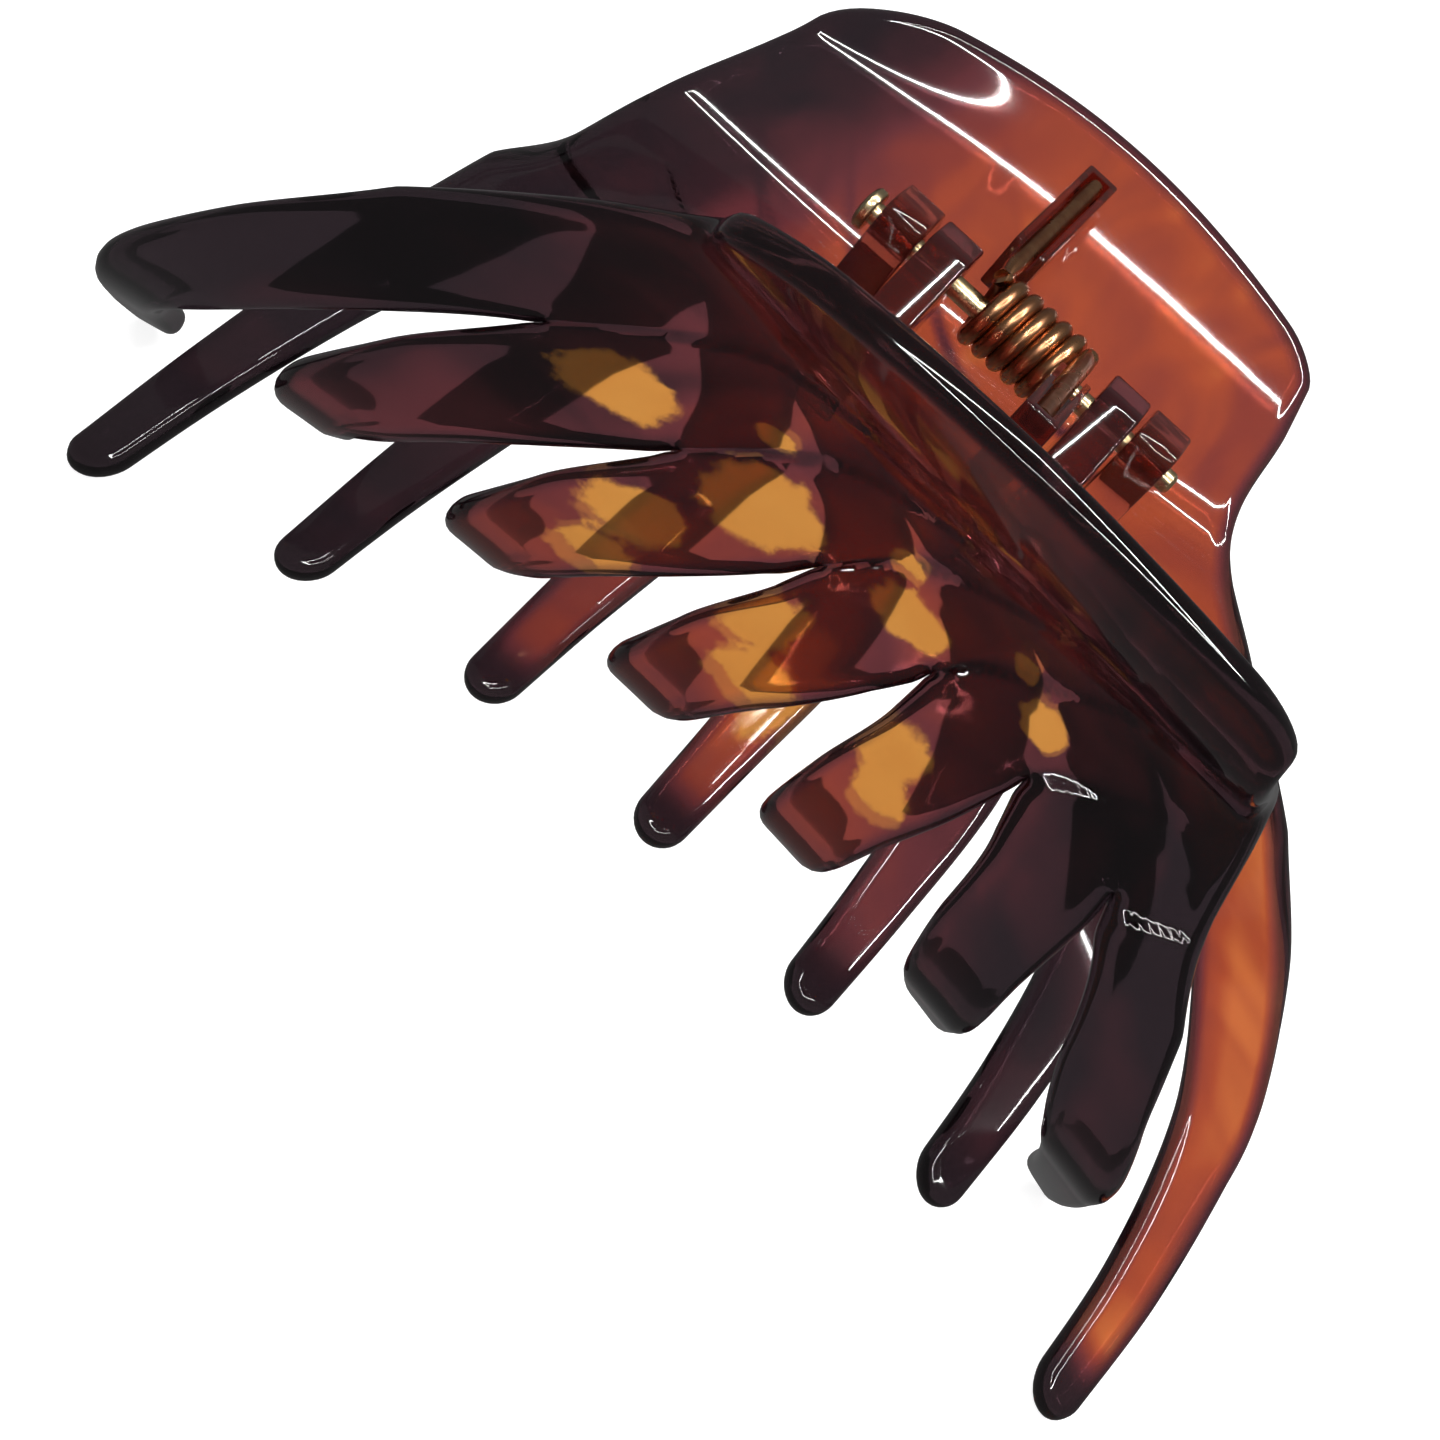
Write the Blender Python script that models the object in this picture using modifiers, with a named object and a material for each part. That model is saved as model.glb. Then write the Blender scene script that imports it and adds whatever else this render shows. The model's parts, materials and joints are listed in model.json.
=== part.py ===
"""Claw clip with two seven-pronged jaws, a headed hinge pin and a torsion spring.

The hinge runs along X.  The front jaw faces -Y, the rear jaw faces +Y, and the clip
stands on its outermost fingertips at Z = 0.  Both jaws have the same outer shape: the
rear one is the front one turned half a turn about Z, with its own pair of lugs.
"""
import math

import bmesh
import bpy
from mathutils import Matrix, Vector

MM = 0.001

# Hinge
HINGE_HEIGHT = 53.0 * MM
PIN_RADIUS = 0.75 * MM
PIN_LENGTH = 25.2 * MM
PIN_HEAD_RADIUS = 1.45 * MM
PIN_HEAD_THICKNESS = 0.9 * MM
CLEARANCE = 0.3 * MM
LUG_WIDTH = 2.9 * MM
LUG_CORNER = 1.2 * MM
INNER_LUG_X = 6.95 * MM
OUTER_LUG_X = 10.2 * MM
# Corners of a lug's free end, outward and up from the hinge axis in millimetres, and the
# places on the jaw's wall where its root starts and ends
LUG_FREE_END = ((-2.2, -4.0), (-2.2, 2.45), (1.6, 2.45))
LUG_ROOT = (0.215, 0.335)

# Spring
WIRE_RADIUS = 0.6 * MM
COIL_RADIUS = 2.1 * MM
COIL_TURNS = 7
COIL_LIFT = 0.4 * MM
LEG_END_OUT = 15.4 * MM
LEG_END_UP = 4.3 * MM
STEPS_PER_TURN = 16

# Leg saddle: the slotted web on each grip that holds one leg of the spring
SADDLE_WIDTH = 2.9 * MM
SADDLE_NEAR = 4.2 * MM
SADDLE_FAR = 17.2 * MM
SLOT_WIDTH = 1.8 * MM
SADDLE_HEIGHT = 4.2 * MM
SADDLE_RISE = 0.55 * MM

# Jaw
FINGERS = 7
WALL = 2.4 * MM
CUBIC_SPREAD = 0.03
TIP_ROUND = 0.026
ROWS = 24
COLUMNS = 4

# Stations from the grip's rim to the fingertip, in millimetres.
# place along the jaw, outward, up from the hinge, fan centre, finger pitch,
# sweep of both ends to one side, inset of the outer fingers, lift of the outer fingers,
# twist outward per finger, twist up per finger, half width of a finger
STATIONS = {
    "rim":      (0.00, 22.2, 6.0, 4.6, 5.4, 0.00, 2.0, -1.8, -0.2, -0.15, 9.0),
    "wing":     (0.12, 17.0, -0.4, 5.3, 5.67, -0.08, 0.4, -0.3, 0.1, -0.4, 9.0),
    "waist":    (0.25, 8.6, -6.6, 6.6, 6.25, -0.14, 0.0, 0.8, 0.1, -0.5, 8.0),
    "neck":     (0.36, 8.4, -12.2, 6.5, 7.9, -0.23, 0.4, 0.2, 0.3, -0.8, 5.2),
    "shoulder": (0.48, 11.6, -17.9, 3.2, 10.2, -0.14, 1.4, -1.4, 0.5, -0.7, 4.0),
    "belly":    (0.575, 13.1, -23.2, -0.4, 11.9, -0.05, 1.8, -3.2, 0.5, -0.6, 3.5),
    "curl":     (0.67, 11.8, -28.2, -2.6, 13.3, -0.02, 2.0, -4.7, 0.5, -0.3, 3.2),
    "shin":     (0.76, 8.3, -31.8, -3.6, 14.2, -0.04, 2.1, -6.4, 0.4, 0.0, 2.8),
    "claw":     (0.88, 0.5, -37.1, -3.65, 14.9, -0.05, 2.15, -8.3, 0.5, 0.0, 2.35),
    "tip":      (1.00, -8.0, -42.0, -3.6, 15.2, 0.00, 2.2, -10.3, 0.7, 0.0, 2.0),
}
(OUTWARD, UP, CENTRE, PITCH, SWEEP, INSET, LIFT, TWIST_OUT, TWIST_UP, HALF_WIDTH) = range(1, 11)

MATERIALS = {
    "front_jaw": ((0.24, 0.07, 0.03), 0.12, 0.0),
    "rear_jaw": ((0.30, 0.09, 0.04), 0.12, 0.0),
    "hinge_pin": ((0.72, 0.56, 0.30), 0.25, 1.0),
    "torsion_spring": ((0.45, 0.27, 0.13), 0.30, 1.0),
}


def clear_scene():
    for obj in list(bpy.data.objects):
        bpy.data.objects.remove(obj, do_unlink=True)


def collection(name):
    group = bpy.data.collections.new(name)
    bpy.context.scene.collection.children.link(group)
    return group


def plastic_or_metal(name):
    colour, roughness, metallic = MATERIALS[name]
    material = bpy.data.materials.new(name + "_finish")
    material.use_nodes = True
    shader = material.node_tree.nodes["Principled BSDF"]
    shader.inputs["Base Color"].default_value = (*colour, 1.0)
    shader.inputs["Roughness"].default_value = roughness
    shader.inputs["Metallic"].default_value = metallic
    return material


def new_object(name, mesh, group):
    obj = bpy.data.objects.new(name, mesh)
    group.objects.link(obj)
    return obj


def station_value(column, place):
    """Smooth value of one column of STATIONS at a place between 0 (rim) and 1 (tip)."""
    rows = list(STATIONS.values())
    places = [row[0] for row in rows]
    values = [row[column] for row in rows]
    slopes = []
    for i in range(len(rows)):
        before = max(i - 1, 0)
        after = min(i + 1, len(rows) - 1)
        slopes.append((values[after] - values[before]) / (places[after] - places[before]))
    i = 0
    while i < len(rows) - 2 and place > places[i + 1]:
        i += 1
    span = places[i + 1] - places[i]
    t = (place - places[i]) / span
    return (values[i] * (1 + 2 * t) * (1 - t) ** 2 + slopes[i] * span * t * (1 - t) ** 2
            + values[i + 1] * t * t * (3 - 2 * t) + slopes[i + 1] * span * t * t * (t - 1))


def rim_corner(across):
    """How far the rim starts below its straight edge near the grip's two ends."""
    depth, start = (0.06, 2.6) if across > 0 else (0.055, 2.7)
    t = (abs(across) - start) / (FINGERS / 2 - start)
    if t <= 0:
        return 0.0
    return depth * (1 - math.sqrt(max(0.0, 1 - min(t, 1.0) ** 2)))


def sheet_point(across, place):
    """Point on the middle surface of the front jaw, with the hinge axis at the origin.

    across counts fingers from the middle one, and place runs from rim to fingertip.
    """
    place = place + rim_corner(across) * (1 - place) ** 6
    value = [0.0] + [station_value(column, place) for column in range(1, 11)]
    outer = across * across / 9
    x = (value[CENTRE] + across * value[PITCH] + value[SWEEP] * across ** 2
         + CUBIC_SPREAD * (1 + place) * across ** 3)
    outward = value[OUTWARD] - value[INSET] * outer + value[TWIST_OUT] * across
    up = value[UP] + value[LIFT] * outer + value[TWIST_UP] * across
    return Vector((x, -outward, up)) * MM


def wall_point(x, place):
    """Point of the middle surface that has the given x, by halving across the fan."""
    low = -FINGERS / 2
    high = FINGERS / 2
    for _ in range(30):
        across = (low + high) / 2
        if sheet_point(across, place).x < x:
            low = across
        else:
            high = across
    return sheet_point(low, place)


def finger_half_span(finger, place):
    """Half the finger's share of the fan, in pitches: one half until the fingers part."""
    width = station_value(HALF_WIDTH, place) * MM
    rounding = (place - (1 - TIP_ROUND)) / TIP_ROUND
    if rounding > 0:
        width *= math.sqrt(max(0.06, 1 - rounding ** 2))
    step = 0.01
    along = sheet_point(finger, min(place + step, 1)) - sheet_point(finger, place - step)
    along.normalize()
    side = (sheet_point(finger + step, place) - sheet_point(finger - step, place)) / (2 * step)
    side -= along * side.dot(along)
    return min(0.5, width / side.length)


def row_places():
    return [i / ROWS for i in range(ROWS)] + [1 - TIP_ROUND, 1 - TIP_ROUND / 3, 1.0]


def jaw_sheet():
    """Open middle surface of the front jaw: seven strips that share edges near the grip."""
    bm = bmesh.new()
    for finger in range(-(FINGERS // 2), FINGERS // 2 + 1):
        grid = []
        for place in row_places():
            half = finger_half_span(finger, place)
            row = []
            for i in range(COLUMNS + 1):
                across = finger + half * (2 * i / COLUMNS - 1)
                row.append(bm.verts.new(sheet_point(across, place)))
            grid.append(row)
        for upper, lower in zip(grid, grid[1:]):
            for i in range(COLUMNS):
                bm.faces.new((upper[i], lower[i], lower[i + 1], upper[i + 1]))
    bmesh.ops.remove_doubles(bm, verts=bm.verts, dist=0.00001)
    mesh = bpy.data.meshes.new("jaw_sheet")
    bm.to_mesh(mesh)
    bm.free()
    return mesh


def block(name, size, centre, group):
    bm = bmesh.new()
    bmesh.ops.create_cube(bm, size=1.0)
    bmesh.ops.scale(bm, vec=size, verts=bm.verts)
    bmesh.ops.translate(bm, vec=centre, verts=bm.verts)
    mesh = bpy.data.meshes.new(name)
    bm.to_mesh(mesh)
    bm.free()
    return new_object(name, mesh, group)


def round_corner(corner, before, after, radius, steps=4):
    """Points of the arc that rounds one corner of an outline."""
    corner, before, after = (Vector(point) for point in (corner, before, after))
    start_way = (before - corner).normalized()
    end_way = (after - corner).normalized()
    half_angle = start_way.angle(end_way) / 2
    centre = corner + (start_way + end_way).normalized() * (radius / math.sin(half_angle))
    first = corner + start_way * (radius / math.tan(half_angle)) - centre
    last = corner + end_way * (radius / math.tan(half_angle)) - centre
    return [centre + radius * first.slerp(last, i / steps).normalized()
            for i in range(steps + 1)]


def lug(name, x, tools):
    """Plate across the hinge axis, from its free end to inside the jaw's wall."""
    bottom, inner, top = (Vector(point) * MM for point in LUG_FREE_END)
    roots = [wall_point(x, place) for place in LUG_ROOT]
    upper_root, lower_root = (Vector((-root.y, root.z)) for root in roots)
    outline = round_corner(bottom, lower_root, inner, LUG_CORNER)
    outline += round_corner(inner, bottom, top, LUG_CORNER)
    outline += round_corner(top, inner, upper_root, LUG_CORNER)
    outline += [upper_root, lower_root]
    bm = bmesh.new()
    side = [bm.verts.new((-LUG_WIDTH / 2, -point.x, point.y)) for point in outline]
    face = bm.faces.new(side)
    swept = bmesh.ops.extrude_face_region(bm, geom=[face])
    moved = [item for item in swept["geom"] if isinstance(item, bmesh.types.BMVert)]
    bmesh.ops.translate(bm, vec=(LUG_WIDTH, 0, 0), verts=moved)
    bmesh.ops.translate(bm, vec=(x, 0, 0), verts=bm.verts)
    bmesh.ops.recalc_face_normals(bm, faces=bm.faces)
    mesh = bpy.data.meshes.new(name)
    bm.to_mesh(mesh)
    bm.free()
    return new_object(name, mesh, tools)


def rod(name, radius, length, centre, group, sides=24):
    """Cylinder along X."""
    bm = bmesh.new()
    bmesh.ops.create_cone(bm, cap_ends=True, segments=sides, radius1=radius, radius2=radius,
                          depth=length)
    bmesh.ops.rotate(bm, matrix=Matrix.Rotation(math.pi / 2, 3, "Y"), verts=bm.verts)
    bmesh.ops.translate(bm, vec=centre, verts=bm.verts)
    mesh = bpy.data.meshes.new(name)
    bm.to_mesh(mesh)
    bm.free()
    return new_object(name, mesh, group)


def as_cutter(obj):
    obj.hide_render = True
    obj.display_type = "WIRE"
    return obj


def combine(target, tool, operation):
    modifier = target.modifiers.new(operation.lower() + "_" + tool.name, "BOOLEAN")
    modifier.object = as_cutter(tool)
    modifier.operation = operation
    modifier.solver = "EXACT"


def saddle_block(name, width, near, far, height, base, x, tools):
    """Box along the spring leg, from near to far outward, its underside at base."""
    slope = leg_slope()
    length = (far - near) / math.cos(slope)
    bar = block(name, (width, length, height), (0, 0, height / 2), tools)
    bar.data.transform(Matrix.Rotation(-slope, 4, "X"))
    middle = (near + far) / 2
    bar.location = (x, -middle, leg_height(middle) + base)
    return bar


def saddle(name, x, tools):
    """Web from the grip to just short of the coil, and the slot for the spring leg."""
    web = saddle_block(name + "_web", SADDLE_WIDTH, SADDLE_NEAR, SADDLE_FAR,
                       SADDLE_HEIGHT, SADDLE_RISE - SADDLE_HEIGHT, x, tools)
    slot = saddle_block(name + "_slot", SLOT_WIDTH, SADDLE_NEAR - 2 * MM,
                        LEG_END_OUT + 0.5 * MM, 3 * MM, -WIRE_RADIUS - CLEARANCE, x, tools)
    return web, slot


def jaw(name, lug_xs, group, tools):
    """Jaw with its two lugs, its leg saddle and its pin hole, hinge axis at its origin."""
    body = new_object(name, jaw_sheet(), group)
    thickness = body.modifiers.new("wall", "SOLIDIFY")
    thickness.thickness = WALL
    thickness.offset = 0
    thickness.use_even_offset = True
    for i, x in enumerate(lug_xs):
        combine(body, lug(f"{name}_lug_{i}", x, tools), "UNION")
    web, slot = saddle(name + "_saddle", COIL_TURNS * WIRE_RADIUS - WIRE_RADIUS, tools)
    combine(body, web, "UNION")
    combine(body, slot, "DIFFERENCE")
    hole = rod(name + "_pin_hole", PIN_RADIUS + CLEARANCE, 40 * MM, (0, 0, 0), tools)
    combine(body, hole, "DIFFERENCE")
    body.data.materials.append(plastic_or_metal(name))
    return body


def leg_slope():
    return math.atan2(LEG_END_UP - COIL_RADIUS, LEG_END_OUT)


def leg_height(outward):
    """Height of a spring leg's centre line above the hinge axis."""
    slope = leg_slope()
    return COIL_LIFT + COIL_RADIUS / math.cos(slope) + outward * math.tan(slope)


def hinge_pin(group, tools):
    """Plain pin with a disc head at its -X end."""
    pin = rod("hinge_pin", PIN_RADIUS, PIN_LENGTH, (0, 0, 0), group)
    head_x = -PIN_LENGTH / 2
    head = rod("pin_head", PIN_HEAD_RADIUS, PIN_HEAD_THICKNESS, (head_x, 0, 0), tools)
    combine(pin, head, "UNION")
    pin.data.materials.append(plastic_or_metal("hinge_pin"))
    return pin


def spring_points():
    """Centre line of the spring: rear leg, close coil, front leg."""
    half = (COIL_TURNS - 1) * WIRE_RADIUS
    slope = leg_slope()
    steps = STEPS_PER_TURN * COIL_TURNS
    sweep = 2 * math.pi * (COIL_TURNS - 1) + 2 * slope
    leg = Vector((-half, LEG_END_OUT, leg_height(LEG_END_OUT)))
    points = [leg]
    for i in range(steps + 1):
        t = i / steps
        angle = slope - sweep * t
        x = -half + 2 * half * t
        y = -COIL_RADIUS * math.sin(angle)
        z = COIL_LIFT + COIL_RADIUS * math.cos(angle)
        points.append(Vector((x, y, z)))
    points.append(Vector((-leg.x, -leg.y, leg.z)))
    return points


def torsion_spring(group):
    curve = bpy.data.curves.new("torsion_spring", "CURVE")
    curve.dimensions = "3D"
    curve.bevel_depth = WIRE_RADIUS
    curve.bevel_resolution = 2
    curve.use_fill_caps = True
    points = spring_points()
    spline = curve.splines.new("POLY")
    spline.points.add(len(points) - 1)
    for place, point in zip(spline.points, points):
        place.co = (*point, 1.0)
    spring = new_object("torsion_spring", curve, group)
    curve.materials.append(plastic_or_metal("torsion_spring"))
    return spring


def cut_feet(body, tools):
    """Small flats at Z = 0 on the lowest fingertips."""
    floor = block(body.name + "_floor", (200 * MM, 200 * MM, 10 * MM), (0, 0, -5 * MM), tools)
    combine(body, floor, "DIFFERENCE")


def place_on_hinge(objects, turned=False):
    turn = Matrix.Rotation(math.pi, 4, "Z") if turned else Matrix.Identity(4)
    for obj in objects:
        obj.matrix_world = Matrix.Translation((0, 0, HINGE_HEIGHT)) @ turn @ obj.matrix_world


def build():
    clear_scene()
    clip = collection("claw_clip")
    front_tools = collection("front_cutters")
    rear_tools = collection("rear_cutters")
    pin_tools = collection("pin_cutters")
    front = jaw("front_jaw", (-INNER_LUG_X, INNER_LUG_X), clip, front_tools)
    rear = jaw("rear_jaw", (-OUTER_LUG_X, OUTER_LUG_X), clip, rear_tools)
    pin = hinge_pin(clip, pin_tools)
    spring = torsion_spring(clip)
    bpy.context.view_layer.update()
    place_on_hinge([front, pin, spring, *front_tools.objects, *pin_tools.objects])
    place_on_hinge([rear, *rear_tools.objects], turned=True)
    cut_feet(front, front_tools)
    cut_feet(rear, rear_tools)


build()
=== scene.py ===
"""Looks of the claw clip: fine jaws of glossy tortoise-shell plastic, pin and spring."""
import json
import math

import bmesh
import bpy
import numpy as np
from mathutils import Matrix, Vector
from mathutils.kdtree import KDTree


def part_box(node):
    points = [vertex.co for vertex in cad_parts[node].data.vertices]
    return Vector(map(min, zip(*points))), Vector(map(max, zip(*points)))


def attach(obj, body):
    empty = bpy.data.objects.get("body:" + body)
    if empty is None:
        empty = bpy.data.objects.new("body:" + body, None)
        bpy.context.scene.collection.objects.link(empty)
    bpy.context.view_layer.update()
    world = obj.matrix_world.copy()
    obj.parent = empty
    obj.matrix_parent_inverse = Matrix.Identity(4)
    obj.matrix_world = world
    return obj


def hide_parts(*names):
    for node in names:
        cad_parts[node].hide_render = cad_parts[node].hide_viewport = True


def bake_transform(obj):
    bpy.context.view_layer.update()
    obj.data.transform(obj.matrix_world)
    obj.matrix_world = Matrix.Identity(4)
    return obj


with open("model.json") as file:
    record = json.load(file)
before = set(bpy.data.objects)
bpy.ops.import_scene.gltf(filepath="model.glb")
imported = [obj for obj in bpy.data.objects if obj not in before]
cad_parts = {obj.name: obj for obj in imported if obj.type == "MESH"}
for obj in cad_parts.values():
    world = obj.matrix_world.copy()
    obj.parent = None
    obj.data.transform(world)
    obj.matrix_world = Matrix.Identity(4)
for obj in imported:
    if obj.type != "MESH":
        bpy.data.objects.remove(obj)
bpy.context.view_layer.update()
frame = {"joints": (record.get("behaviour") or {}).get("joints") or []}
HINGE = Vector(frame["joints"][0]["pos_m"])
MM = 0.001

# Camera, placed from the hinge
CAMERA_OFFSET = Vector((1.93, -139.64, 63.64)) * MM
CAMERA_DOWN = math.radians(35.5)
CAMERA_ROLL = math.radians(42.6)
CAMERA_LENS = 61.5

# Jaw wall
FINGERS = 7
WALL = 2.3 * MM
EDGE_RADIUS = 1.1 * MM
EDGE_SQUARENESS = 2.4
CUBIC_SPREAD = 0.03
CORNER_FADE = 6
TIP_ROUND = 0.026
ROWS = 150
COLUMNS = 16

# Rounding of the rim's two ends: how deep, and where it starts across
RIGHT_CORNER = {"front": (0.035, 2.85), "rear": (0.085, 2.3)}
LEFT_CORNER = {"front": (0.075, 2.4), "rear": (0.04, 2.95)}
# How much further out the grip's right end is, at the rim and at the shoulder, in millimetres
FLARE = {"front": (1.4, -1.0), "rear": (-0.4, -0.6)}
FLARE_END = 0.6
FLARE_SHOULDER = 0.45
FLARE_SPREAD = 0.09
# Share of the last finger's outer half that is missing round TRIM_PLACE
TRIM = 0.3
TRIM_PLACE = 0.44
TRIM_SPREAD = 0.10

# Ridges where each finger's root overlaps the next one towards -X: their size, then the line
# that their edge follows from each crotch
RIDGE_HEIGHT = 0.5 * MM
RIDGE_FALL = 3.2 * MM
RIDGE_STEP = 0.2 * MM
# Width of the line of painted shade along each ridge's edge
CREASE_WIDTH = 0.4 * MM
RIDGE_BEND = 0.1
RIDGE_SLOPE = 0.068
RIDGE_REACH = 3.2
RIDGE_DROP = 0.075
RIDGE_LEAN = -0.034

# Least height of the surface over the floor; then where the wall's middle levels off, so that
# the tips rest on the floor, and how gently it bends, in millimetres
FOOT_HEIGHT = 0.01 * MM
REST_HEIGHT = 1.0
REST_BEND = 0.4

# Lugs
LUG_WIDTH = 2.9 * MM
LUG_CORNER = 1.2 * MM
LUG_XS = {"front": (-6.95, 6.95), "rear": (-10.2, 10.2)}
LUG_FREE_END = ((-2.2, -4.0), (-2.2, 2.45), (1.6, 2.45))
LUG_ROOT = (0.215, 0.335)
LUG_GAP = 1.6
EDGE_BREAK = 0.22 * MM
HOLE_RADIUS = 0.95 * MM

PIN_SIDES = 64

# Spring and its saddles
WIRE_RADIUS = 0.6 * MM
COIL_RADIUS = 2.1 * MM
COIL_TURNS = 7
COIL_LIFT = 0.4 * MM
LEG_END_OUT = 15.4 * MM
LEG_END_UP = 4.3 * MM
SADDLE_WIDTH = 2.4 * MM
SADDLE_NEAR = {"front": 6.8 * MM, "rear": 4.2 * MM}
SADDLE_FAR = 17.0 * MM
SLOT_WIDTH = 1.5 * MM
SADDLE_HEIGHT = 4.2 * MM
SADDLE_RISE = 0.55 * MM
SADDLE_BEVEL = 0.18 * MM
SLOT_PLAY = 0.25 * MM

# Stations from the grip's rim to the fingertip, in millimetres from the hinge:
# place, outward, up, fan centre, finger pitch, sweep, inset and lift of the outer fingers,
# twist outward and up per finger, half width of a finger
STATIONS = np.array([
    (0.00, 22.2, 6.0, 4.6, 5.4, 0.00, 2.0, -1.8, -0.2, -0.15, 9.0),
    (0.12, 17.0, -0.4, 5.3, 5.75, -0.05, 0.4, -0.3, 0.1, -0.4, 9.0),
    (0.25, 8.6, -6.6, 6.6, 6.35, -0.10, 0.0, 0.8, 0.1, -0.5, 8.0),
    (0.36, 8.4, -12.2, 6.5, 7.9, -0.23, 0.4, 0.2, 0.3, -0.8, 5.2),
    (0.48, 11.6, -17.9, 3.2, 10.2, -0.14, 1.4, -1.4, 0.5, -0.7, 4.0),
    (0.575, 13.1, -23.2, -0.4, 11.9, -0.05, 1.8, -3.2, 0.5, -0.6, 3.5),
    (0.67, 11.8, -28.2, -2.6, 13.3, -0.02, 2.0, -4.7, 0.5, -0.3, 3.2),
    (0.76, 8.3, -31.8, -3.6, 14.2, -0.04, 2.1, -6.4, 0.4, 0.0, 2.8),
    (0.88, 0.5, -37.1, -3.65, 14.9, -0.05, 2.15, -8.3, 0.5, 0.0, 2.35),
    (1.00, -8.0, -42.0, -3.6, 15.2, 0.00, 2.2, -10.3, 0.7, 0.0, 2.0),
])
(PLACE, OUTWARD, UP, CENTRE, PITCH, SWEEP, INSET, LIFT, TWIST_OUT, TWIST_UP,
 HALF_WIDTH) = range(11)

# How warm the plastic is, from near black (0) to red-brown (1): across the grip and along
# the fingers, at -3 to 3 across
GRIP_WARMTH = {
    "front": (0.42, 0.56, 0.60, 0.58, 0.48, 0.22, 0.06),
    "rear": (0.78, 0.84, 0.84, 0.82, 0.72, 0.36, 0.02),
}
FINGER_WARMTH = {
    "front": (0.02, 0.32, 0.62, 0.62, 0.54, 0.18, 0.01),
    "rear": (0.90, 0.10, 0.42, 0.76, 0.66, 0.08, 0.04),
}
WARMTH_CHANGE = (0.30, 0.42)
# Clear amber patches: across, place, half size across, half size along
AMBER = {
    "front": ((-2.0, .457, .28, .032), (-1.02, .435, .33, .045), (-1.08, .530, .26, .036),
              (-.85, .585, .20, .030), (.03, .395, .38, .026), (-.20, .510, .20, .036),
              (.12, .555, .24, .032), (1.35, .360, .26, .024), (.86, .500, .20, .032),
              (1.03, .545, .20, .026), (-1.55, .372, .16, .015), (-.32, .352, .16, .015),
              (.92, .328, .16, .013)),
    "rear": ((-1.0, .340, .90, .030), (0.0, .800, .14, .080)),
}
# Where the mottling is read from its noise, how strong it is, and how rough the fingers are
SHELL_FINISH = {"front": (3.7, 0.9, 0.05), "rear": (8.2, 0.5, 0.06)}


def station(column, place):
    """Smooth value of one column of STATIONS at places between 0 (rim) and 1 (tip)."""
    knots = STATIONS[:, PLACE]
    values = STATIONS[:, column]
    last = len(knots) - 1
    before = np.maximum(np.arange(last + 1) - 1, 0)
    after = np.minimum(np.arange(last + 1) + 1, last)
    slopes = (values[after] - values[before]) / (knots[after] - knots[before])
    i = np.clip(np.searchsorted(knots, place) - 1, 0, last - 1)
    span = knots[i + 1] - knots[i]
    t = (place - knots[i]) / span
    return (values[i] * (1 + 2 * t) * (1 - t) ** 2 + slopes[i] * span * t * (1 - t) ** 2
            + values[i + 1] * t * t * (3 - 2 * t) + slopes[i + 1] * span * t * t * (t - 1))


def rim_corner(across, side):
    """How far the rim starts below its straight edge near the grip's two ends."""
    depth = np.where(across > 0, RIGHT_CORNER[side][0], LEFT_CORNER[side][0])
    start = np.where(across > 0, RIGHT_CORNER[side][1], LEFT_CORNER[side][1])
    t = np.clip((np.abs(across) - start) / (FINGERS / 2 - start), 0, 1)
    return depth * (1 - np.sqrt(1 - t ** 2))


def above_floor(up):
    """Heights from the hinge, in millimetres, bent smoothly to stay over the floor."""
    lowest = REST_HEIGHT - HINGE.z / MM
    return lowest + REST_BEND * np.logaddexp(0, (up - lowest) / REST_BEND)


def sheet(across, place, side="front"):
    """Middle surface of a jaw, as if in front, from the hinge; across counts fingers."""
    place = place + rim_corner(across, side) * (1 - place) ** CORNER_FADE
    outer = across ** 2 / 9
    at_rim, at_shoulder = FLARE[side]
    flare = (at_rim * np.cos(np.clip(place / FLARE_END, 0, 1) * math.pi / 2) ** 2
             + at_shoulder * np.exp(-((place - FLARE_SHOULDER) / FLARE_SPREAD) ** 2))
    x = (station(CENTRE, place) + across * station(PITCH, place)
         + across ** 2 * station(SWEEP, place) + CUBIC_SPREAD * (1 + place) * across ** 3
         + flare * (np.maximum(across, 0) * 2 / FINGERS) ** 2)
    outward = (station(OUTWARD, place) - outer * station(INSET, place)
               + across * station(TWIST_OUT, place))
    up = (station(UP, place) + outer * station(LIFT, place)
          + across * station(TWIST_UP, place))
    return np.stack((x, -outward, above_floor(up)), axis=-1) * MM


def sheet_slopes(across, place, side="front", step=0.002):
    """Slopes of the middle surface along the fingers and across them."""
    low = np.maximum(place - step, 0)
    high = np.minimum(place + step, 1)
    along = sheet(across, high, side) - sheet(across, low, side)
    aside = sheet(across + step, place, side) - sheet(across - step, place, side)
    return along / (high - low)[..., None], aside / (2 * step)


def unit(vectors):
    return vectors / np.linalg.norm(vectors, axis=-1, keepdims=True)


def half_span(finger, place):
    """Half the finger's share of the fan: one half until the fingers part."""
    width = station(HALF_WIDTH, place) * MM
    rounding = np.clip((place - 1 + TIP_ROUND) / TIP_ROUND, 0, 1)
    width = width * np.sqrt(1 - rounding ** 2)
    centre = np.full_like(place, finger)
    along, aside = sheet_slopes(centre, place)
    along = unit(along)
    aside = aside - along * np.sum(aside * along, axis=-1, keepdims=True)
    return np.minimum(0.5, width / np.linalg.norm(aside, axis=-1))


def wall_point(x, place):
    """Point of the middle surface that has the given x, by halving across the fan."""
    low = -FINGERS / 2
    high = FINGERS / 2
    for _ in range(30):
        across = (low + high) / 2
        if sheet(np.array([across]), np.array([place]))[0][0] < x:
            low = across
        else:
            high = across
    return sheet(np.array([low]), np.array([place]))[0]


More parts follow.
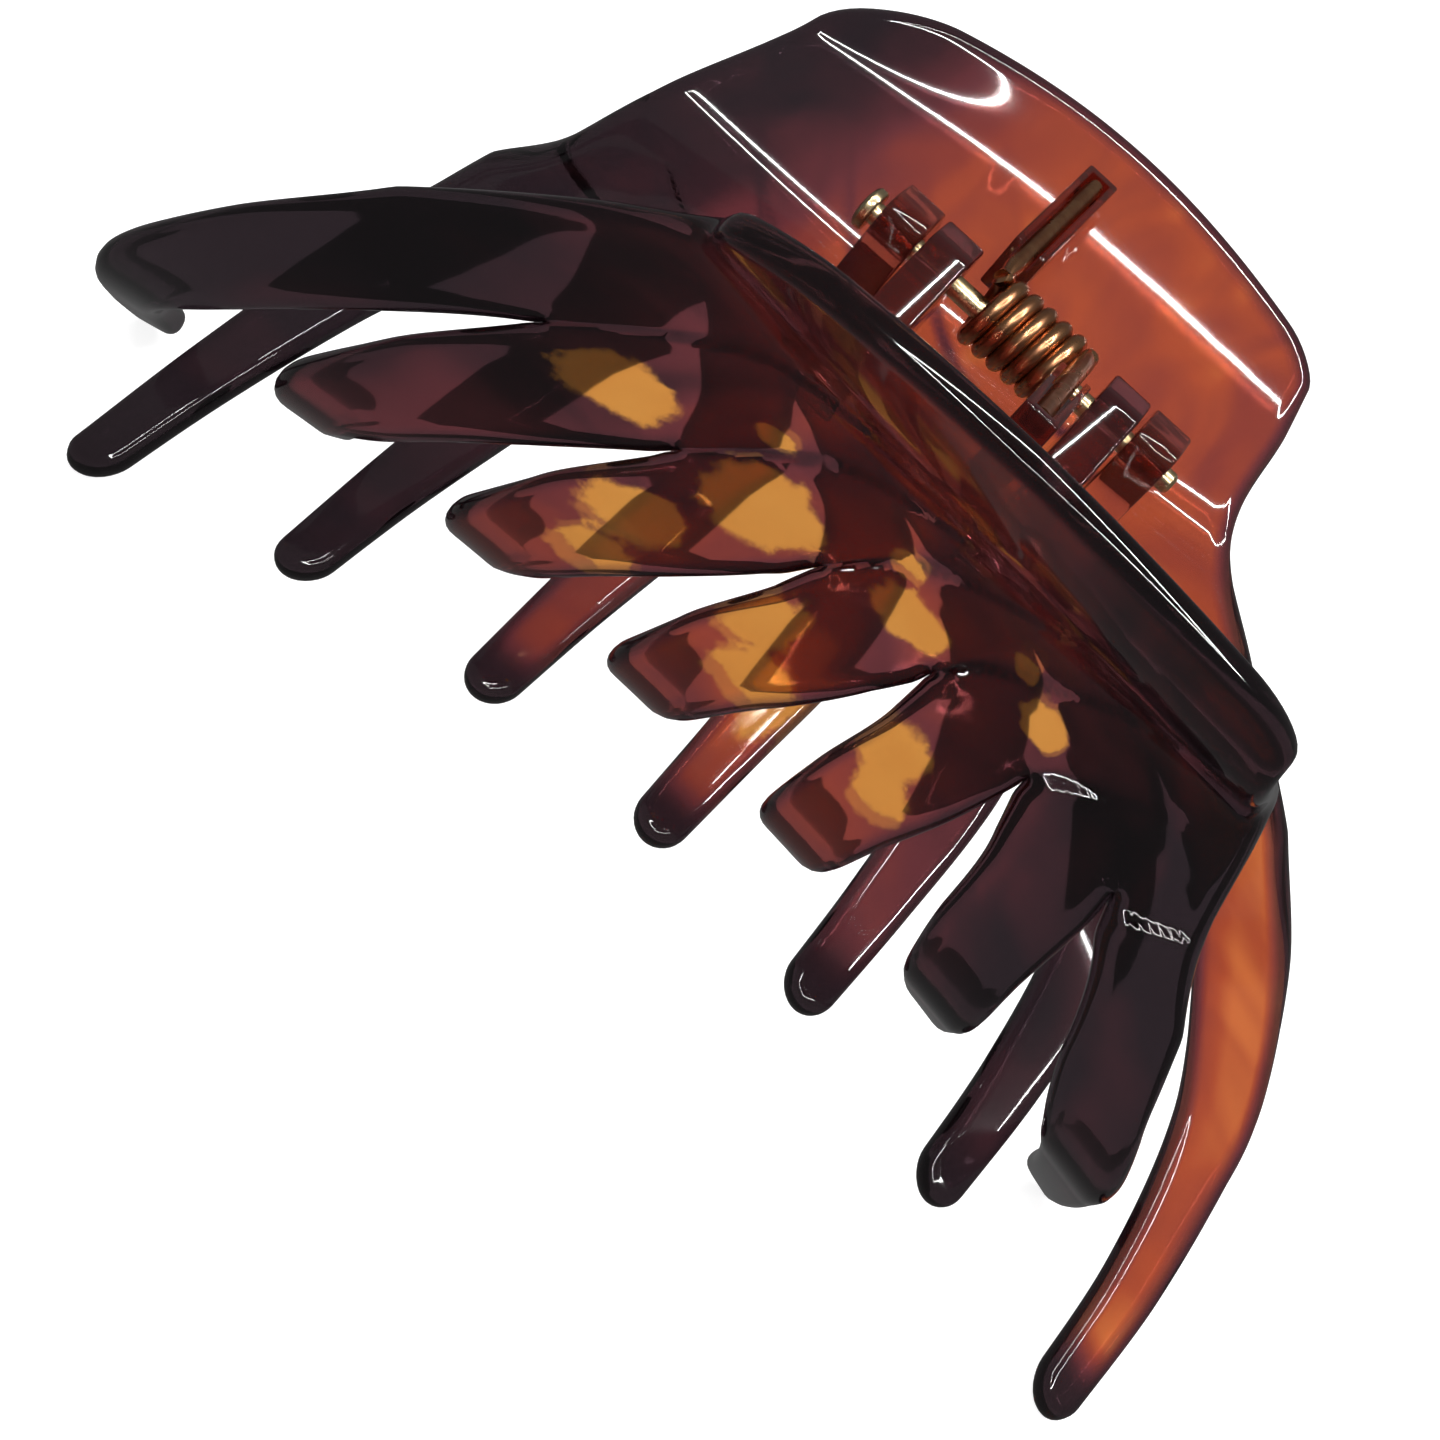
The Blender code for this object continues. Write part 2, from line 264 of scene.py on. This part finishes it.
def row_places():
    """Rows, close together at the rim and round the fingertips."""
    rim = np.array((0.0, 0.0008, 0.0025, 0.005, 0.0085, 0.0125))
    middle = np.linspace(0.017, 1 - TIP_ROUND, ROWS)
    tip = 1 - TIP_ROUND + TIP_ROUND * np.sin(np.radians(np.arange(10, 91, 10)))
    return np.concatenate((rim, middle, tip))


def crotch_places():
    """Place where each pair of neighbouring fingers parts."""
    place = np.linspace(0.2, 0.7, 501)
    crotches = {}
    for gap in range(FINGERS - 1):
        finger = gap - FINGERS // 2
        open_here = half_span(finger, place) + half_span(finger + 1, place) < 0.999
        crotches[finger + 0.5] = place[np.argmax(open_here)]
    return crotches


def ridges(across, place):
    """Height of the overlapping finger roots, and how close a point is to their edge, where shade
    is painted into the colour.
    """
    along, aside = (np.linalg.norm(slope, axis=-1) for slope in sheet_slopes(across, place))
    height = np.zeros_like(across)
    crease_shade = np.zeros_like(across)
    for gap, crotch in crotch_places().items():
        u = across - gap
        bend = RIDGE_DROP + RIDGE_LEAN * gap
        steep = np.exp(-np.maximum(u, -0.05) / RIDGE_BEND)
        below = place - crotch + bend * (1 - steep) + RIDGE_SLOPE * u
        slope = np.hypot(1 / along, (bend / RIDGE_BEND * steep + RIDGE_SLOPE) / aside)
        distance = below / slope
        fade = np.clip(1 - u / RIDGE_REACH, 0, 1) * np.clip((u + 0.02) / 0.05, 0, 1)
        step = 0.5 + 0.5 * np.tanh(distance / RIDGE_STEP)
        height = np.maximum(height, RIDGE_HEIGHT * fade ** 0.7 * step
                            * np.exp(-np.maximum(distance, 0) / RIDGE_FALL))
        crease_shade = np.maximum(crease_shade, fade * np.exp(-(distance / CREASE_WIDTH) ** 2))
    return height, crease_shade


def jaw_grid():
    """Points of the sheet as unique (across, place) pairs, and its quads."""
    rows = row_places()
    columns = -np.cos(np.linspace(0, math.pi, COLUMNS + 1))
    trim = 1 - TRIM * np.exp(-((rows - TRIM_PLACE) / TRIM_SPREAD) ** 2)
    index = {}
    across = []
    place = []
    quads = []
    for finger in range(-(FINGERS // 2), FINGERS // 2 + 1):
        half = half_span(finger, rows)
        ids = np.empty((len(rows), COLUMNS + 1), dtype=int)
        for r, (row, span) in enumerate(zip(rows, half)):
            for c, column in enumerate(columns):
                last_edge = finger == FINGERS // 2 and column > 0
                here = finger + span * column * (trim[r] if last_edge else 1)
                key = (round(here, 6), r)
                if key not in index:
                    index[key] = len(across)
                    across.append(here)
                    place.append(row)
                ids[r, c] = index[key]
        for r in range(len(rows) - 1):
            for c in range(COLUMNS):
                quad = (ids[r, c], ids[r + 1, c], ids[r + 1, c + 1], ids[r, c + 1])
                quad = tuple(dict.fromkeys(int(v) for v in quad))
                if len(quad) > 2:
                    quads.append(quad)
    return np.array(across), np.array(place), quads


def edge_distances(points, quads):
    """Distance of every point to the sheet's free edges, and which points are on one."""
    count = {}
    for quad in quads:
        for a, b in zip(quad, quad[1:] + quad[:1]):
            pair = (min(a, b), max(a, b))
            count[pair] = count.get(pair, 0) + 1
    free = [pair for pair, uses in count.items() if uses == 1]
    neighbours = {}
    for a, b in free:
        neighbours.setdefault(a, []).append(b)
        neighbours.setdefault(b, []).append(a)
    tree = KDTree(len(neighbours))
    for v in neighbours:
        tree.insert(points[v], v)
    tree.balance()
    distances = np.zeros(len(points))
    for i, point in enumerate(points):
        if i in neighbours:
            continue
        _, near, best = tree.find(point)
        for other in neighbours[near]:
            edge = points[other] - points[near]
            t = np.clip(np.dot(point - points[near], edge) / np.dot(edge, edge), 0, 1)
            best = min(best, float(np.linalg.norm(point - points[near] - t * edge)))
        distances[i] = best
    return distances, set(neighbours)


def jaw_surface(side):
    """Closed wall of a jaw: vertices, faces, middle points and their traits."""
    across, place, quads = GRID
    middle = sheet(across, place, side)
    along, aside = sheet_slopes(across, place, side)
    outward = unit(np.cross(along, aside))
    edge, free = edge_distances(middle, quads)
    u = np.clip(edge / EDGE_RADIUS, 0, 1)
    half = WALL / 2 * (1 - (1 - u) ** EDGE_SQUARENESS) ** (1 / EDGE_SQUARENESS)
    ridge, crease_shade = ridges(across, place)
    outer = middle + outward * (half + ridge * u)[:, None]
    inner = middle - outward * half[:, None]
    inner_ids = np.arange(len(middle))
    inside = [i for i in range(len(middle)) if i not in free]
    inner_ids[inside] = len(middle) + np.arange(len(inside))
    points = np.concatenate((outer, inner[inside]))
    faces = list(quads)
    faces += [tuple(int(inner_ids[v]) for v in reversed(quad)) for quad in quads]
    return points, faces, middle, np.stack((across, place, edge / MM, crease_shade), axis=-1)


def add_object(name, data):
    obj = bpy.data.objects.new(name, data)
    bpy.context.scene.collection.objects.link(obj)
    return obj


def bm_object(name, bm):
    bmesh.ops.recalc_face_normals(bm, faces=bm.faces)
    mesh = bpy.data.meshes.new(name)
    bm.to_mesh(mesh)
    bm.free()
    return add_object(name, mesh)


def mesh_object(name, points, faces):
    mesh = bpy.data.meshes.new(name + "_faces")
    mesh.from_pydata([tuple(point) for point in points], [], faces)
    mesh.validate()
    bm = bmesh.new()
    bm.from_mesh(mesh)
    bpy.data.meshes.remove(mesh)
    return bm_object(name, bm)


def round_corner(corner, before, after, radius, steps=8):
    """Points of the arc that rounds a corner of an outline."""
    start_way = (before - corner).normalized()
    end_way = (after - corner).normalized()
    half_angle = start_way.angle(end_way) / 2
    centre = corner + (start_way + end_way).normalized() * (radius / math.sin(half_angle))
    first = corner + start_way * (radius / math.tan(half_angle)) - centre
    last = corner + end_way * (radius / math.tan(half_angle)) - centre
    return [centre + radius * first.slerp(last, i / steps).normalized()
            for i in range(steps + 1)]


def lug(x):
    """Rounded plate at x that carries the pin and grows out of the jaw's wall."""
    bottom, inner, top = (Vector(point) * MM for point in LUG_FREE_END)
    roots = [wall_point(x * MM, place) for place in LUG_ROOT]
    upper_root, lower_root = (Vector((-root[1], root[2])) for root in roots)
    outline = round_corner(bottom, lower_root, inner, LUG_CORNER)
    outline += round_corner(inner, bottom, top, LUG_CORNER)
    outline += round_corner(top, inner, upper_root, LUG_CORNER)
    outline += [upper_root, lower_root]
    bm = bmesh.new()
    corners = [bm.verts.new((x * MM - LUG_WIDTH / 2, -point.x, point.y)) for point in outline]
    face = bm.faces.new(corners)
    swept = bmesh.ops.extrude_face_region(bm, geom=[face])
    moved = [item for item in swept["geom"] if isinstance(item, bmesh.types.BMVert)]
    bmesh.ops.translate(bm, vec=(LUG_WIDTH, 0, 0), verts=moved)
    sides = [f for f in bm.faces if len(f.verts) > 4]
    rims = list({e for f in sides for e in f.edges})
    bmesh.ops.bevel(bm, geom=rims, offset=EDGE_BREAK, segments=3, profile=0.5,
                    affect="EDGES", clamp_overlap=True)
    return bm_object("lug", bm)


def leg_slope():
    return math.atan2(LEG_END_UP - COIL_RADIUS, LEG_END_OUT)


def leg_height(outward):
    """Height of the spring leg's middle line over the hinge."""
    return COIL_LIFT + COIL_RADIUS / math.cos(leg_slope()) + outward * math.tan(leg_slope())


def saddle_block(width, near, far, height, base, bevel):
    """Box along the spring leg of the front jaw, its underside at base."""
    x = (COIL_TURNS - 1) * WIRE_RADIUS
    middle = (near + far) / 2
    bm = bmesh.new()
    bmesh.ops.create_cube(bm, size=1.0)
    bmesh.ops.scale(bm, vec=(width, (far - near) / math.cos(leg_slope()), height), verts=bm.verts)
    bmesh.ops.translate(bm, vec=(0, 0, height / 2), verts=bm.verts)
    if bevel:
        bmesh.ops.bevel(bm, geom=bm.edges[:], offset=bevel, segments=3, profile=0.5,
                        affect="EDGES")
    bmesh.ops.rotate(bm, matrix=Matrix.Rotation(-leg_slope(), 3, "X"), verts=bm.verts)
    bmesh.ops.translate(bm, vec=(x, -middle, leg_height(middle) + base), verts=bm.verts)
    return bm_object("saddle", bm)


def rod(radius, length, sides=48):
    bm = bmesh.new()
    bmesh.ops.create_cone(bm, cap_ends=True, segments=sides, radius1=radius, radius2=radius,
                          depth=length)
    bmesh.ops.rotate(bm, matrix=Matrix.Rotation(math.pi / 2, 3, "Y"), verts=bm.verts)
    return bm_object("rod", bm)


def combine(body, tool, operation):
    """Join the tool to the body, or cut it away, and discard the tool."""
    modifier = body.modifiers.new(operation, "BOOLEAN")
    modifier.object = tool
    modifier.operation = operation
    modifier.solver = "MANIFOLD"
    depsgraph = bpy.context.evaluated_depsgraph_get()
    mesh = bpy.data.meshes.new_from_object(body.evaluated_get(depsgraph))
    body.modifiers.clear()
    body.data = mesh
    bpy.data.objects.remove(tool, do_unlink=True)


def smooth(obj, degrees):
    obj.data.shade_smooth()
    obj.data.set_sharp_from_angle(angle=math.radians(degrees))


def store(obj, name, values):
    attribute = obj.data.attributes.new(name, "FLOAT", "POINT")
    attribute.data.foreach_set("value", np.asarray(values, dtype=np.float32))


def jaw(side):
    """Front or rear jaw with lugs, saddle and pin hole, in world coordinates."""
    points, faces, middle, traits = jaw_surface(side)
    body = mesh_object(side + "_shell", points, faces)
    for x in LUG_XS[side]:
        combine(body, lug(x), "UNION")
    near = SADDLE_NEAR[side]
    combine(body, saddle_block(SADDLE_WIDTH, near, SADDLE_FAR, SADDLE_HEIGHT,
                               SADDLE_RISE - SADDLE_HEIGHT, SADDLE_BEVEL), "UNION")
    combine(body, saddle_block(SLOT_WIDTH, near - 2 * MM, LEG_END_OUT + 2 * SLOT_PLAY, 3 * MM,
                               -WIRE_RADIUS - SLOT_PLAY, 0), "DIFFERENCE")
    combine(body, rod(HOLE_RADIUS, 60 * MM), "DIFFERENCE")
    tree = KDTree(len(middle))
    for i, point in enumerate(middle):
        tree.insert(point, i)
    tree.balance()
    nearest = [tree.find(v.co)[1:] for v in body.data.vertices]
    ids = np.array([i for i, _ in nearest])
    gap = np.array([d for _, d in nearest]) / MM
    across, place, edge, crease_shade = traits[ids].T
    edge = np.where(gap > LUG_GAP, 1.0, edge)
    for name, values in (("across", across), ("place", place), ("edge", edge),
                         ("crease_shade", crease_shade)):
        store(body, name, values)
    fingers = np.arange(-(FINGERS // 2), FINGERS // 2 + 1)
    down = np.interp(place, WARMTH_CHANGE, (0, 1))
    store(body, "warmth", (1 - down) * np.interp(across, fingers, GRIP_WARMTH[side])
          + down * np.interp(across, fingers, FINGER_WARMTH[side]))
    amber = np.zeros(len(across))
    for centre, middle_place, width, length in AMBER[side]:
        away = np.hypot((across - centre) / width, (place - middle_place) / length)
        amber = np.maximum(amber, np.exp(-0.7 * away ** 2))
    store(body, "amber", amber)
    turn = Matrix.Rotation(math.pi if side == "rear" else 0, 4, "Z")
    body.data.transform(Matrix.Translation(HINGE) @ turn)
    for vertex in body.data.vertices:
        vertex.co.z = max(vertex.co.z, FOOT_HEIGHT)
    smooth(body, 40)
    return body


class Nodes:
    """Short-hand for building a material's nodes."""

    def __init__(self, name):
        self.material = bpy.data.materials.new(name)
        self.material.use_nodes = True
        self.tree = self.material.node_tree
        self.shader = self.tree.nodes["Principled BSDF"]

    def add(self, kind, inputs=(), out=0, **settings):
        node = self.tree.nodes.new("ShaderNode" + kind)
        for key, value in settings.items():
            setattr(node, key, value)
        for key, value in dict(inputs).items():
            self.feed(node.inputs[key], value)
        return node.outputs[out]

    def feed(self, socket, value):
        if isinstance(value, bpy.types.NodeSocket):
            self.tree.links.new(value, socket)
        else:
            socket.default_value = value

    def math(self, operation, a, b=0.0, c=0.0, clamp=False):
        return self.add("Math", {0: a, 1: b, 2: c}, operation=operation, use_clamp=clamp)

    def ramp(self, fac, stops, smooth_stops=False):
        output = self.add("ValToRGB", {"Fac": fac})
        ramp = output.node.color_ramp
        ramp.interpolation = "EASE" if smooth_stops else "LINEAR"
        while len(ramp.elements) < len(stops):
            ramp.elements.new(0.5)
        for element, (position, colour) in zip(ramp.elements, stops):
            element.position = position
            element.color = (*colour, 1.0)
        return output

    def blend(self, fac, a, b, mode="MIX"):
        output = self.add("Mix", data_type="RGBA", blend_type=mode, out=2)
        node = output.node
        self.feed(node.inputs[0], fac)
        self.feed(node.inputs[6], a)
        self.feed(node.inputs[7], b)
        return output

    def attribute(self, name):
        return self.add("Attribute", attribute_name=name, out=2)

    def span(self, value, low, high, to_low=0.0, to_high=1.0):
        return self.add("MapRange", {"Value": value, "From Min": low, "From Max": high,
                                     "To Min": to_low, "To Max": to_high},
                        interpolation_type="SMOOTHSTEP")


def tortoise_shell(name, seed, mottle, finger_roughness):
    """Glossy translucent plastic, mottled from near black to red-brown, with amber patches, and
    with painted shade at its edges, fingertips and ridge lines.
    """
    n = Nodes(name)
    across = n.attribute("across")
    place = n.attribute("place")
    edge = n.attribute("edge")
    where = n.add("CombineXYZ", {"X": n.math("MULTIPLY", across, 1.25),
                                 "Y": n.math("MULTIPLY", place, 9.0), "Z": seed})
    cloud = n.add("TexNoise", {"Vector": where, "Scale": 0.9, "Detail": 2.5,
                               "Roughness": 0.45, "Distortion": 0.9})
    ragged = n.add("TexNoise", {"Vector": where, "Scale": 2.6, "Detail": 3.0,
                                "Roughness": 0.55, "Distortion": 0.4})
    position = n.add("TexCoord", out=3)
    speckle = n.add("TexNoise", {"Vector": position, "Scale": 1500.0, "Detail": 3.0,
                                 "Roughness": 0.7})
    grain = n.math("MULTIPLY", n.math("SUBTRACT", speckle, 0.5), 0.25)
    drift = n.math("MULTIPLY", n.math("SUBTRACT", cloud, 0.5), mottle)
    # Painted shade: the colour is darkened towards the free edges and the fingertips
    rim = n.math("MULTIPLY", n.span(edge, 0.1, 1.3, 0.15, 1.0),
                 n.span(place, 0.925, 0.975, 1.0, 0.1))
    # Painted shade: a dark line along the edge of each ridge
    rim = n.math("MULTIPLY", rim, n.span(n.attribute("crease_shade"), 0.0, 0.9, 1.0, 0.25))
    depth = n.math("MULTIPLY", n.math("ADD", n.attribute("warmth"), drift), rim, clamp=True)
    shell = n.ramp(depth, ((0.0, (0.017, 0.011, 0.014)), (0.2, (0.036, 0.014, 0.018)),
                           (0.45, (0.115, 0.026, 0.031)), (0.7, (0.22, 0.039, 0.027)),
                           (0.85, (0.33, 0.060, 0.025)), (1.0, (0.52, 0.145, 0.040))))
    wander = n.math("MULTIPLY_ADD", n.math("SUBTRACT", ragged, 0.5), 0.9, n.attribute("amber"))
    patch = n.span(n.math("ADD", wander, grain), 0.44, 0.60)
    # Amber patches are kept off the free edges, so the painted edge shade stays dark
    patch = n.math("MULTIPLY", patch, n.span(edge, 0.25, 1.1))
    amber = n.blend(cloud, (0.56, 0.26, 0.055, 1), (0.46, 0.17, 0.03, 1))
    colour = n.blend(patch, shell, amber)
    s = n.shader
    n.feed(s.inputs["Base Color"], colour)
    n.feed(s.inputs["Roughness"], n.span(place, 0.45, 0.62, 0.06, finger_roughness))
    s.inputs["IOR"].default_value = 1.49
    s.inputs["Transmission Weight"].default_value = 0.85
    ripple = n.add("TexNoise", {"Vector": position, "Scale": 110.0, "Detail": 2.0})
    n.feed(s.inputs["Normal"], n.add("Bump", {"Height": ripple, "Strength": 0.04,
                                             "Distance": 0.0004}))
    return n.material


def metal(name, colour, dark, roughness):
    """Metal with cloudy tarnish and fine scratches."""
    n = Nodes(name)
    position = n.add("TexCoord", out=3)
    cloud = n.add("TexNoise", {"Vector": position, "Scale": 420.0, "Detail": 4.0})
    n.feed(n.shader.inputs["Base Color"], n.blend(n.span(cloud, 0.35, 0.7), (*colour, 1),
                                                  (*dark, 1)))
    n.feed(n.shader.inputs["Roughness"], n.span(cloud, 0.3, 0.7, roughness, roughness + 0.14))
    n.shader.inputs["Metallic"].default_value = 1.0
    scratch = n.add("TexNoise", {"Vector": position, "Scale": 1600.0, "Detail": 3.0})
    n.feed(n.shader.inputs["Normal"], n.add("Bump", {"Height": scratch, "Strength": 0.08,
                                                     "Distance": 0.0001}))
    return n.material


def hinge_pin():
    """Pin turned about X: domed head at -X, chamfered end at +X."""
    low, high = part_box("hinge_pin")
    head = 1.45 * MM
    shank = 0.75 * MM
    profile = [(low[0], head * 0.55), (low[0] + 0.12 * MM, head * 0.85),
               (low[0] + 0.32 * MM, head), (low[0] + 0.75 * MM, head),
               (low[0] + 0.9 * MM, head * 0.93), (low[0] + 0.9 * MM, shank),
               (high[0] - 0.25 * MM, shank), (high[0] - 0.06 * MM, shank * 0.8),
               (high[0], shank * 0.6)]
    turns = [2 * math.pi * i / PIN_SIDES for i in range(PIN_SIDES)]
    bm = bmesh.new()
    rings = [[bm.verts.new((x, HINGE.y - r * math.sin(turn), HINGE.z + r * math.cos(turn)))
              for turn in turns] for x, r in profile]
    for ring, following in zip(rings, rings[1:]):
        for i in range(PIN_SIDES):
            bm.faces.new((ring[i - 1], ring[i], following[i], following[i - 1]))
    for x, ring in ((low[0], rings[0]), (high[0], rings[-1])):
        centre = bm.verts.new((x, HINGE.y, HINGE.z))
        for i in range(PIN_SIDES):
            bm.faces.new((ring[i - 1], ring[i], centre))
    pin = bm_object("headed_pin", bm)
    smooth(pin, 35)
    return pin


def spring_points():
    """Middle line of the wire: the rear leg, the coil and the front leg."""
    half = (COIL_TURNS - 1) * WIRE_RADIUS
    slope = leg_slope()
    steps = 40 * COIL_TURNS
    sweep = 2 * math.pi * (COIL_TURNS - 1) + 2 * slope
    leg = Vector((-half, LEG_END_OUT, leg_height(LEG_END_OUT)))
    start = Vector((-half, COIL_RADIUS * -math.sin(slope),
                    COIL_LIFT + COIL_RADIUS * math.cos(slope)))
    points = [leg.lerp(start, i / 8) for i in range(8)]
    for i in range(steps + 1):
        t = i / steps
        angle = slope - sweep * t
        points.append(Vector((-half + 2 * half * t, -COIL_RADIUS * math.sin(angle),
                              COIL_LIFT + COIL_RADIUS * math.cos(angle))))
    far_leg = Vector((-leg.x, -leg.y, leg.z))
    points += [points[-1].lerp(far_leg, i / 8) for i in range(1, 9)]
    return [point + HINGE for point in points]


def spring():
    points = spring_points()
    curve = bpy.data.curves.new("spring_path", "CURVE")
    curve.dimensions = "3D"
    curve.bevel_depth = WIRE_RADIUS * 0.98
    curve.bevel_resolution = 5
    curve.use_fill_caps = True
    path = curve.splines.new("POLY")
    path.points.add(len(points) - 1)
    for place, point in zip(path.points, points):
        place.co = (*point, 1.0)
    holder = add_object("spring_path", curve)
    mesh = bpy.data.meshes.new_from_object(
        holder.evaluated_get(bpy.context.evaluated_depsgraph_get()))
    bpy.data.objects.remove(holder, do_unlink=True)
    obj = add_object("wound_spring", mesh)
    smooth(obj, 50)
    return obj


def dress():
    for side in ("front", "rear"):
        body = jaw(side)
        body.data.materials.clear()
        body.data.materials.append(tortoise_shell(side + "_tortoise_shell", *SHELL_FINISH[side]))
        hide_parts(side + "_jaw")
        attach(body, side)
    pin = hinge_pin()
    pin.data.materials.append(metal("pale_brass", (0.78, 0.62, 0.36), (0.52, 0.36, 0.17), 0.2))
    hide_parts("hinge_pin")
    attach(pin, "rear")
    coil = spring()
    coil.data.materials.clear()
    coil.data.materials.append(metal("bronze_wire", (0.62, 0.31, 0.15), (0.34, 0.14, 0.07), 0.22))
    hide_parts("torsion_spring")
    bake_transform(coil)


def camera():
    forward = Vector((0, math.cos(CAMERA_DOWN), -math.sin(CAMERA_DOWN)))
    right = Vector((1, 0, 0))
    up = right.cross(forward)
    rolled_right = math.cos(CAMERA_ROLL) * right + math.sin(CAMERA_ROLL) * up
    rolled_up = -math.sin(CAMERA_ROLL) * right + math.cos(CAMERA_ROLL) * up
    data = bpy.data.cameras.new("camera")
    data.lens = CAMERA_LENS
    data.sensor_width = 36
    data.clip_start = 0.005
    obj = add_object("camera", data)
    place = Matrix((rolled_right, rolled_up, -forward)).transposed().to_4x4()
    place.translation = HINGE + CAMERA_OFFSET
    obj.matrix_world = place
    bpy.context.scene.camera = obj


def studio():
    bpy.ops.mesh.primitive_plane_add(size=4)
    floor = bpy.context.object
    floor.name = "floor"
    n = Nodes("white_sweep")
    n.shader.inputs["Base Color"].default_value = (0.4, 0.4, 0.4, 1)
    n.shader.inputs["Roughness"].default_value = 0.7
    n.shader.inputs["Emission Color"].default_value = (1, 1, 1, 1)
    n.shader.inputs["Emission Strength"].default_value = 0.9
    floor.data.materials.append(n.material)
    floor.visible_glossy = False
    bpy.context.scene.view_settings.view_transform = "Standard"
    world = bpy.data.worlds.new("studio")
    bpy.context.scene.world = world
    world.use_nodes = True
    world.node_tree.nodes["Background"].inputs[0].default_value = (1, 1, 1, 1)
    world.node_tree.nodes["Background"].inputs[1].default_value = 0.12


def strip(name, start, end, width, power, aim):
    """Area light between two points, facing aim."""
    start = Vector(start)
    end = Vector(end)
    data = bpy.data.lights.new(name, "AREA")
    data.shape = "RECTANGLE"
    data.size = (end - start).length
    data.size_y = width
    data.energy = power
    obj = add_object(name, data)
    middle = (start + end) / 2
    x = (end - start).normalized()
    z = (middle - Vector(aim))
    z = (z - x * z.dot(x)).normalized()
    place = Matrix((x, z.cross(x), z)).transposed().to_4x4()
    place.translation = middle
    obj.matrix_world = place
    return obj


def lights():
    """Rectangular frame of thin strips overhead, and a soft fill that leaves no reflection."""
    corners = [(-0.26, -0.55), (0.07, 0.01), (0.44, -0.10), (0.09, -0.77)]
    height = HINGE.z + 0.6
    for i, (a, b) in enumerate(zip(corners, corners[1:] + corners[:1])):
        strip(f"strip_{i}", (*a, height), (*b, height), 0.010, 2.0, HINGE)
    fill = strip("fill", (-0.5, 0.75, 0.8), (0.5, 0.75, 0.8), 0.5, 9.0, HINGE)
    fill.visible_glossy = False
    fill.visible_transmission = False


GRID = jaw_grid()
camera()
studio()
lights()
dress()
